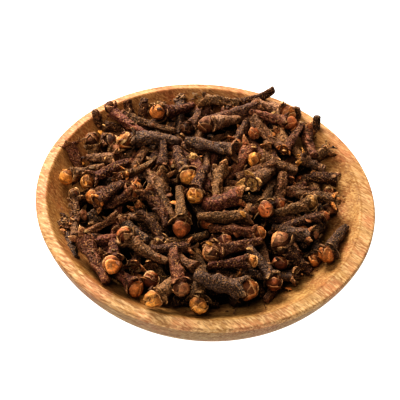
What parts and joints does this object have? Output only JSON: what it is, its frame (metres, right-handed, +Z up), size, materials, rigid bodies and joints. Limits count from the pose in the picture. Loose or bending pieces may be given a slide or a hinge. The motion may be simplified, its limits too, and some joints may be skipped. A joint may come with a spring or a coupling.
{
  "type": "bowl of whole cloves",
  "caption": "Shallow turned wooden bowl, 90 mm across, heaped with whole dried cloves that stand above its rim.",
  "frame": {"origin": "middle of the bowl's flat foot, which is the bottom centre of the bounding box", "axes": "+Z up out of the bowl, the shortest extent. -Y is the side towards the viewer and +X is to the viewer's right"},
  "size_m": [0.09, 0.09, 0.03],
  "materials": {
    "wood": "satin",
    "clove": "matte"
  },
  "bodies": {
    "root": {"bowl": "wood", "cloves": "clove"}
  },
  "joints": []
}
